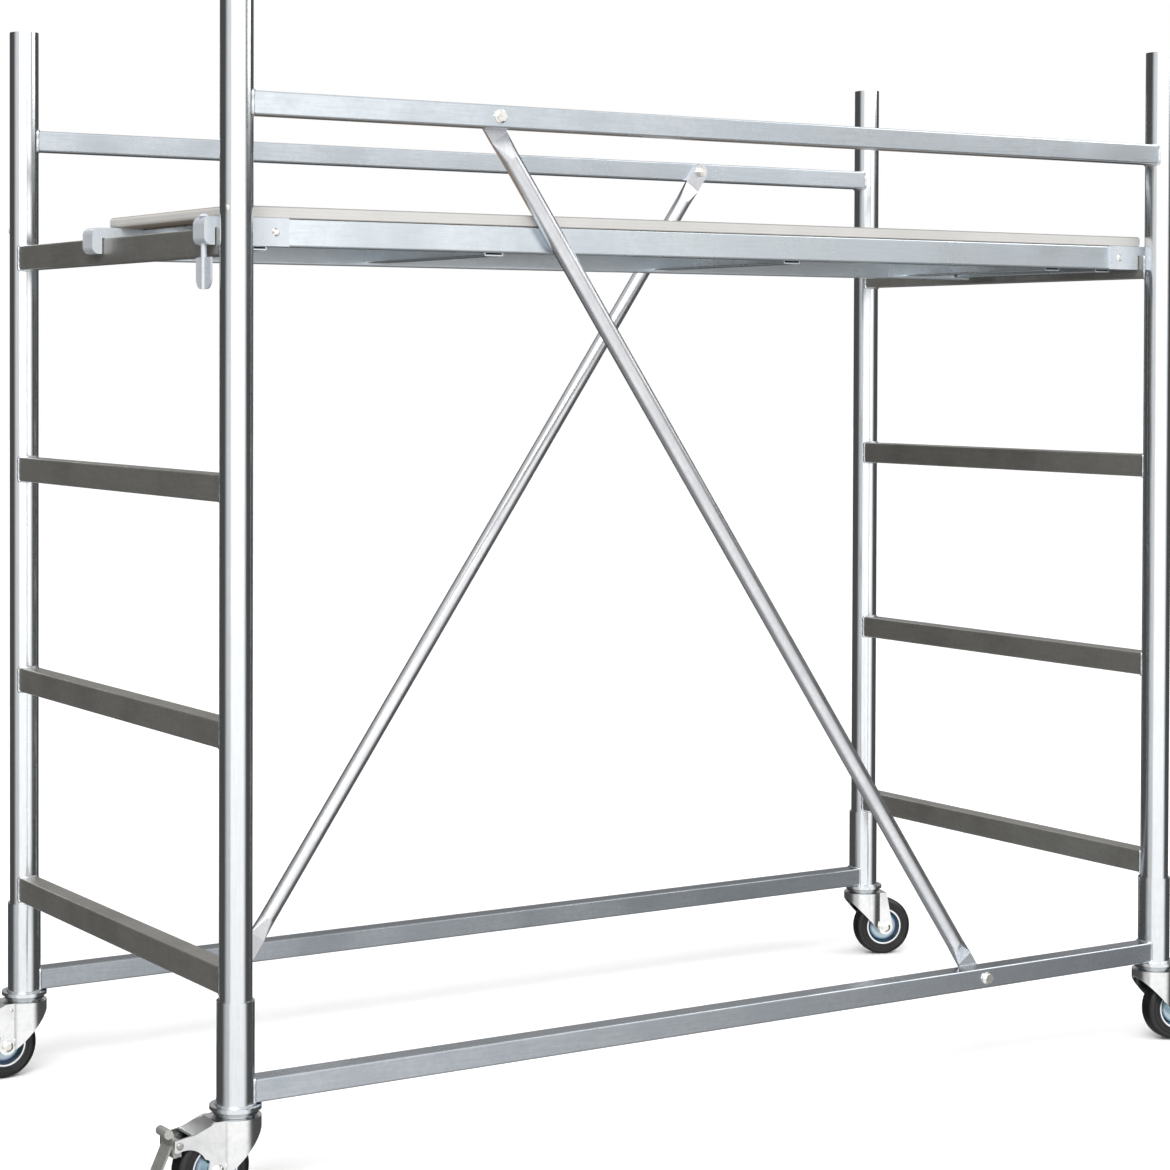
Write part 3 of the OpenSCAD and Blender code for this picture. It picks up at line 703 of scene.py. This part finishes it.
def islands(node: str) -> list[tuple[Vector, Vector]]:
    """Finds the boxes of a solid's separate bodies.

    Args:
        node: The solid's name.

    Returns:
        Lowest and highest corners, one pair a body.
    """
    mesh = frame["nodes"][node].data
    root = list(range(len(mesh.vertices)))

    def top(i: int) -> int:
        """Returns the vertex that stands for i's body."""
        while root[i] != i:
            root[i] = root[root[i]]
            i = root[i]
        return i

    spots: dict[tuple[int, int, int], int] = {}
    for vertex in mesh.vertices:
        key = tuple(round(value * 1e6) for value in vertex.co)
        root[vertex.index] = top(spots.setdefault(key, vertex.index))
    for edge in mesh.edges:
        a, b = (top(i) for i in edge.vertices)
        root[a] = b
    groups: dict[int, list[Vector]] = {}
    for vertex in mesh.vertices:
        groups.setdefault(top(vertex.index), []).append(vertex.co)
    boxes = []
    for group in groups.values():
        low = Vector([min(point[i] for point in group) for i in range(3)])
        high = Vector([max(point[i] for point in group) for i in range(3)])
        boxes.append((low, high))
    return boxes


def outline(width: float, height: float, corner: float, step: float) -> list[tuple[float, float]]:
    """Walks round a rounded rectangle.

    Args:
        width: Its width.
        height: Its height.
        corner: Its corner radius.
        step: The distance between points on its straight sides.

    Returns:
        Points in order, without repeating the first.
    """
    points: list[tuple[float, float]] = []
    half_w, half_h = width / 2 - corner, height / 2 - corner
    centres = [(half_w, half_h), (-half_w, half_h), (-half_w, -half_h), (half_w, -half_h)]
    for i, (cx, cy) in enumerate(centres):
        for k in range(4):
            t = math.pi / 2 * (i + k / 3)
            points.append((cx + corner * math.cos(t), cy + corner * math.sin(t)))
        nx, ny = centres[(i + 1) % 4]
        t = math.pi / 2 * (i + 1)
        start = (cx + corner * math.cos(t), cy + corner * math.sin(t))
        end = (nx + corner * math.cos(t), ny + corner * math.sin(t))
        count = max(1, round(math.dist(start, end) / step))
        for k in range(1, count):
            x = start[0] + (end[0] - start[0]) * k / count
            y = start[1] + (end[1] - start[1]) * k / count
            points.append((x, y))
    return points


def place_piece(
    name: str, mesh: bpy.types.Mesh, material: bpy.types.Material, body: str
) -> bpy.types.Object:
    """Adds a mesh to the scene as a piece of the scaffold.

    Args:
        name: The piece's name.
        mesh: Its mesh, in the row frame.
        material: Its finish.
        body: The body it rides on.

    Returns:
        The piece.
    """
    mesh.name = name
    mesh.materials.clear()
    mesh.materials.append(material)
    for face in mesh.polygons:
        face.use_smooth = True
        face.material_index = 0
    piece = bpy.data.objects.new(name, mesh)
    bpy.context.scene.collection.objects.link(piece)
    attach(piece, body)
    log.info("built %s with %d faces", name, len(mesh.polygons))
    return piece


@dataclass
class LadderFrames:
    """The two welded ladder frames."""

    finishes: Finishes
    rung_width: float = 0.030
    rung_height: float = 0.035
    rung_count: int = 4

    def build(self) -> None:
        """Dresses the posts and rungs and lays their weld beads."""
        for corner in Corner:
            dress(f"{corner.value}_post", self.finishes.post)
        beads = Beads("ladder_welds", "frame", "rung_steel")
        for side in ("left", "right"):
            dress(f"{side}_rungs", self.finishes.rung)
            low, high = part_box(f"{side}_rungs")
            pitch = (high.z - low.z - self.rung_height) / (self.rung_count - 1)
            for end, way in (("front", 1), ("rear", -1)):
                post_low, post_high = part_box(f"{end}_{side}_post")
                axis, radius = (post_low + post_high) / 2, (post_high.x - post_low.x) / 2
                for i in range(self.rung_count):
                    centre = Vector((0, 0, low.z + self.rung_height / 2 + pitch * i))
                    beads.round_tube(
                        axis,
                        Vector((0, way, 0)),
                        centre,
                        self.rung_width,
                        self.rung_height,
                        radius,
                    )
        beads.build(self.finishes.weld)


@dataclass
class BaseFrame:
    """The base sleeves and bars."""

    finishes: Finishes
    bar_size: float = 0.030
    sleeve_radius: float = 0.02415
    flange: float = 0.005
    tack_ring: float = 0.0285
    tack_turns: tuple[float, float] = (22.0, 112.0)
    tack_size: tuple[float, float] = (0.0036, 0.004)

    def build(self) -> None:
        """Dresses the sleeves and bars, lays their weld beads and sets the flanges' tacks."""
        beads = Beads("base_welds", "frame", "bar_zinc", 0.0019)
        tacks = Turned("flange_tacks", "frame", "sleeve_zinc")
        for corner in Corner:
            dress(f"{corner.value}_sleeve", self.finishes.sleeve)
            end, side = corner.value.split("_")
            low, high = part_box(f"{corner.value}_sleeve")
            axis = (low + high) / 2
            beads.ring(Vector((axis.x, axis.y, low.z + self.flange)), self.sleeve_radius + 0.0004)
            way = Vector((1 if side == "left" else -1, 0, 0))
            bar = middle(f"{end}_base_bar")
            beads.round_tube(
                axis, way, bar, self.bar_size, self.bar_size, self.sleeve_radius
            )
            for turn in self.tack_turns:
                t = math.radians(turn if side == "left" else 180 - turn)
                spoke = Vector((math.cos(t), math.sin(t), 0)) * self.tack_ring
                foot = Vector((axis.x, axis.y, low.z + self.flange)) + spoke
                tacks.add(foot, Vector((0, 0, 1)), dome(*self.tack_size))
        dress("front_base_bar", self.finishes.bar)
        # The rear base bar takes the darker copy of the plating, which is painted shade.
        dress("rear_base_bar", self.finishes.shaded_bar)
        beads.build(self.finishes.weld)
        tacks.build(self.finishes.weld)


def frame_joint(corner: Corner) -> float:
    """Returns the height at which a corner's upright stands on its post."""
    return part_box(f"{corner.value}_post")[1].z


@dataclass
class GuardFrames:
    """The two plug-on guard frames."""

    finishes: Finishes
    rail_size: float = 0.030
    button_rise: float = 0.022
    button_lean: float = 28.0
    button_size: tuple[float, float] = (0.0042, 0.0016)

    def build(self) -> None:
        """Dresses the uprights and rails, lays their weld beads and sets the locking buttons."""
        beads = Beads("guard_welds", "frame", "bar_zinc")
        buttons = Turned("lock_buttons", "frame", "bolt_zinc")
        for corner in Corner:
            end, side = corner.value.split("_")
            dress(f"{corner.value}_upright", self.finishes.post)
            low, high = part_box(f"{corner.value}_upright")
            way = Vector((1 if side == "left" else -1, 0, 0))
            radius = (high.x - low.x) / 2
            rail = middle(f"{end}_guard_rail")
            beads.round_tube(
                (low + high) / 2, way, rail, self.rail_size, self.rail_size, radius
            )
            lean = math.radians(self.button_lean)
            across = -1 if end == "front" else 1
            out = Vector((-way.x * math.cos(lean), math.sin(lean) * across, 0))
            joint = frame_joint(corner)
            foot = Vector(((low.x + high.x) / 2, (low.y + high.y) / 2, joint + self.button_rise))
            buttons.add(foot + out * (radius - 0.0003), out, dome(*self.button_size))
        dress("front_guard_rail", self.finishes.rail)
        # The rear guard rail takes the darker copy of the plating, which is painted shade.
        dress("rear_guard_rail", self.finishes.shaded_rail)
        beads.build(self.finishes.weld)
        buttons.build(self.finishes.bolt)


@dataclass
class Braces:
    """The diagonal braces with their bolts and washers."""

    finishes: Finishes
    washer_radius: float = 0.0094
    washer_thickness: float = 0.0012

    def build(self) -> None:
        """Dresses the braces, bolts and nuts and lays washers under the bolts' heads."""
        washers = Turned("brace_washers", "frame", "bolt_zinc", 40)
        for low, high in islands("brace_bolts"):
            spot = (low + high) / 2
            end, way = ("front", -1) if spot.y < 0 else ("rear", 1)
            bar_low, bar_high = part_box(f"{end}_guard_rail")
            face = bar_low.y if end == "front" else bar_high.y
            profile = washer(self.washer_radius, self.washer_thickness)
            washers.add(Vector((spot.x, face, spot.z)), Vector((0, way, 0)), profile)
        washers.build(self.finishes.bolt)
        for end in ("front", "rear"):
            dress(f"{end}_brace", self.finishes.brace)
        for node in ("brace_bolts", "brace_nuts"):
            dress(node, self.finishes.bolt)


@dataclass
class Platform:
    """The lift-off platform, with its claws and lift lock."""

    finishes: Finishes

    def build(self) -> None:
        """Dresses the platform's pieces."""
        dress("deck_board", self.finishes.board)
        for node in ("platform_front_beam", "platform_rear_beam", "platform_cross_members"):
            dress(node, self.finishes.beam)
        for corner in Corner:
            dress(f"{corner.value}_claw", self.finishes.claw)
        dress("lift_lock", self.finishes.claw)
        for node in ("claw_rivets", "deck_screws"):
            dress(node, self.finishes.bolt)


@dataclass
class Casters:
    """The four casters, two of them with brakes."""

    finishes: Finishes
    rivet_place: Point = (0.029, 0.0220, 0.1025)
    rivet_size: tuple[float, float] = (0.0032, 0.0014)

    def build(self) -> None:
        """Dresses the casters' pieces."""
        dress("caster_races", self.finishes.race)
        dress("kingpins", self.finishes.bolt)
        for corner in Corner:
            name = corner.value
            dress(f"{name}_fork", self.finishes.fork)
            dress(f"{name}_axle", self.finishes.bolt)
            dress(f"{name}_tyre", self.finishes.tyre)
            axis = self._joint(name, "wheel_spin")["axis"]
            dish = Dish(f"{name}_dish", tuple(middle(f"{name}_rim")), axis)
            dress(f"{name}_rim", dish.material())
            dress(f"{name}_bearing", self.finishes.bearing)
            if name.endswith("left"):
                dress(f"{name}_pedal", self.finishes.pedal)
        self._rivets("rear_left")

    def _rivets(self, name: str) -> None:
        """Sets the pair of rivets that ties a braked fork's cheeks to its cover.

        Args:
            name: The caster's corner.
        """
        along, out, rise = self.rivet_place
        kingpin = Vector(self._joint(name, "swivel")["pos_m"])
        trail = Vector(self._joint(name, "wheel_spin")["pos_m"]) - kingpin
        trail = Vector((trail.x, trail.y, 0)).normalized()
        side = Vector((-trail.y, trail.x, 0))
        rivets = Turned(f"{name}_cheek_rivets", f"{name}_fork", "bolt_zinc")
        for way in (-1, 1):
            foot = Vector((kingpin.x, kingpin.y, rise)) + trail * along + side * (out * way)
            rivets.add(foot, side * way, dome(*self.rivet_size))
        rivets.build(self.finishes.bolt)

    @staticmethod
    def _joint(name: str, kind: str) -> dict[str, Any]:
        """Returns the record's joint of a caster.

        Args:
            name: The caster's corner.
            kind: The joint's kind, as its name ends.

        Returns:
            The joint's entry.
        """
        joints = frame["record"]["behaviour"]["joints"]
        entry = dict(next(joint for joint in joints if joint["name"] == f"{name}_{kind}"))
        entry["axis"] = tuple(entry["axis"])
        return entry


@dataclass
class Studio:
    """The floor, the light and the camera."""

    centre_x: float
    eye: Point = (-2.2900, -3.3378, 1.0589)
    yaw: float = 0.53739
    pitch: float = -0.017417
    roll: float = 0.002527
    lens: float = 81.90
    shift: tuple[float, float] = (0.1276, -0.1520)
    floor_size: float = 60.0
    dim_light: float = 0.075
    floor_light: float = 1.25

    def build(self) -> None:
        """Sets the stage."""
        self._camera()
        self._floor()
        self._world()
        self._lamp("key_lamp", (-2.6, -3.0, 3.6), 2.2, 95.0)
        self._lamp("fill_lamp", (3.4, -2.0, 3.0), 2.6, 40.0)

    def _camera(self) -> None:
        """Puts the camera at its place and makes it the scene's."""
        level = math.cos(self.pitch)
        view = Vector(
            (math.sin(self.yaw) * level, math.cos(self.yaw) * level, math.sin(self.pitch))
        )
        right = Vector((math.cos(self.yaw), -math.sin(self.yaw), 0.0))
        up = right.cross(view)
        c, s = math.cos(self.roll), math.sin(self.roll)
        right, up = right * c + up * s, up * c - right * s
        data = bpy.data.cameras.new("camera")
        data.sensor_width = 36.0
        data.lens = self.lens
        data.shift_x, data.shift_y = self.shift
        data.clip_end = 200.0
        camera = bpy.data.objects.new("camera", data)
        turn = Matrix((right, up, -view)).transposed().to_4x4()
        place = Vector(self.eye) + Vector((self.centre_x, 0, 0))
        camera.matrix_world = Matrix.Translation(place) @ turn
        bpy.context.scene.collection.objects.link(camera)
        bpy.context.scene.camera = camera

    def _floor(self) -> None:
        """Lays the pale floor."""
        half = self.floor_size / 2
        mesh = bpy.data.meshes.new("floor")
        corners = [(-half, -half, 0), (half, -half, 0), (half, half, 0), (-half, half, 0)]
        mesh.from_pydata(corners, [], [(0, 1, 2, 3)])
        floor = bpy.data.objects.new("floor", mesh)
        mesh.materials.append(new_material("floor_paper", self._paper))
        bpy.context.scene.collection.objects.link(floor)
        floor.visible_glossy = False

    def _paper(self, tree: Tree) -> Sock:
        """Returns the floor's shader, white to the eye and plain to its light."""
        seen = tree.node("ShaderNodeLightPath", {}, {}, "Is Camera Ray")
        colour = tree.blend(seen, (0.45, 0.46, 0.47), (self.floor_light,) * 3)
        return tree.node("ShaderNodeBsdfDiffuse", {}, {"Color": colour})

    def _world(self) -> None:
        """Sets the white background and the studio's soft walls."""
        world = bpy.data.worlds.new("studio")
        bpy.context.scene.world = world
        world.use_nodes = True
        tree = Tree(world.node_tree)
        way = tree.node("ShaderNodeTexCoord", {}, {}, "Generated")
        toward = (-math.sin(self.yaw), -math.cos(self.yaw), 0.0)
        facing = tree.vector("DOT_PRODUCT", {0: way, 1: toward}, "Value")
        height = tree.part(way, 2)
        rightward = (math.cos(self.yaw), -math.sin(self.yaw), 0.0)
        beside = tree.vector("DOT_PRODUCT", {0: way, 1: rightward}, "Value")
        low_wall = 0.72 + 0.28 * height.step(-0.3, 0.06)
        left_side = 1.0 - (-beside).step(0.42, 0.62) * 0.48
        wall = facing.step(0.12, 0.62) * left_side * low_wall * 1.3
        back = (-facing).step(0.7, 0.95) * height.step(0.06, 0.25) * 0.32
        ceiling = height.step(0.35, 0.8) * 0.7
        ground = (-height).step(0.35, 0.8) * 0.25
        level = self.dim_light + wall + back + ceiling + ground
        seen = tree.node("ShaderNodeLightPath", {}, {}, "Is Camera Ray")
        strength = seen * 1.0 + (1.0 - seen) * level
        values = {"Color": (1.0, 1.0, 1.0), "Strength": strength}
        shader = tree.node("ShaderNodeBackground", {}, values)
        tree.node("ShaderNodeOutputWorld", {}, {"Surface": shader})

    @staticmethod
    def _lamp(name: str, place: Point, size: float, power: float) -> None:
        """Hangs a soft lamp that points at the scaffold's middle.

        Args:
            name: The lamp's name.
            place: Where it hangs.
            size: Its side.
            power: Its power.
        """
        data = bpy.data.lights.new(name, "AREA")
        data.size = size
        data.energy = power
        lamp = bpy.data.objects.new(name, data)
        aim = Vector((0, 0, 0.5)) - Vector(place)
        turn = aim.to_track_quat("-Z", "Y").to_matrix().to_4x4()
        lamp.matrix_world = Matrix.Translation(place) @ turn
        bpy.context.scene.collection.objects.link(lamp)


def main() -> None:
    """Builds the scaffold's looks around its solids."""
    logging.basicConfig(level=logging.INFO, format="%(name)s: %(message)s")
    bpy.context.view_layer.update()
    bpy.context.scene.view_settings.view_transform = "Standard"
    left, right = middle("front_left_post"), middle("front_right_post")
    low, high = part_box("deck_board")
    finishes = Finishes(high.z, high.z - low.z)
    Studio(centre_x=(left.x + right.x) / 2).build()
    for part in (LadderFrames, BaseFrame, GuardFrames, Braces, Platform, Casters):
        part(finishes).build()
        log.info("finished %s", part.__name__)


if __name__ == "__main__":
    main()
